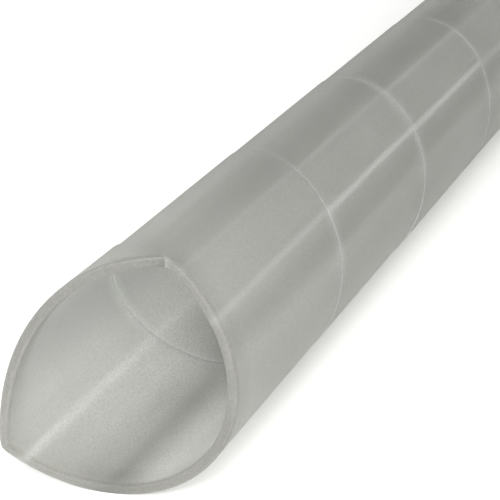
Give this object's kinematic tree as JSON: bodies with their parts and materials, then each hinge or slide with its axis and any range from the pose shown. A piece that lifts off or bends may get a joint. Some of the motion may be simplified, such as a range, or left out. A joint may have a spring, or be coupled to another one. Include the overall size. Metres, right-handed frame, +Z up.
{
  "type": "spiral cable wrap",
  "caption": "Straight length of natural plastic spiral wrap: one strip wound edge to edge into an open sleeve that cables are bundled in, with one end cut obliquely.",
  "frame": {"origin": "on the plane that the sleeve lies on, under the middle of its length", "axes": "+X along the sleeve from its obliquely cut end to its square end, +Z up"},
  "size_m": [1, 0.025, 0.025],
  "materials": {
    "natural_polyethylene": "satin"
  },
  "bodies": {
    "root": {"spiral_strip": "natural_polyethylene"}
  },
  "joints": []
}
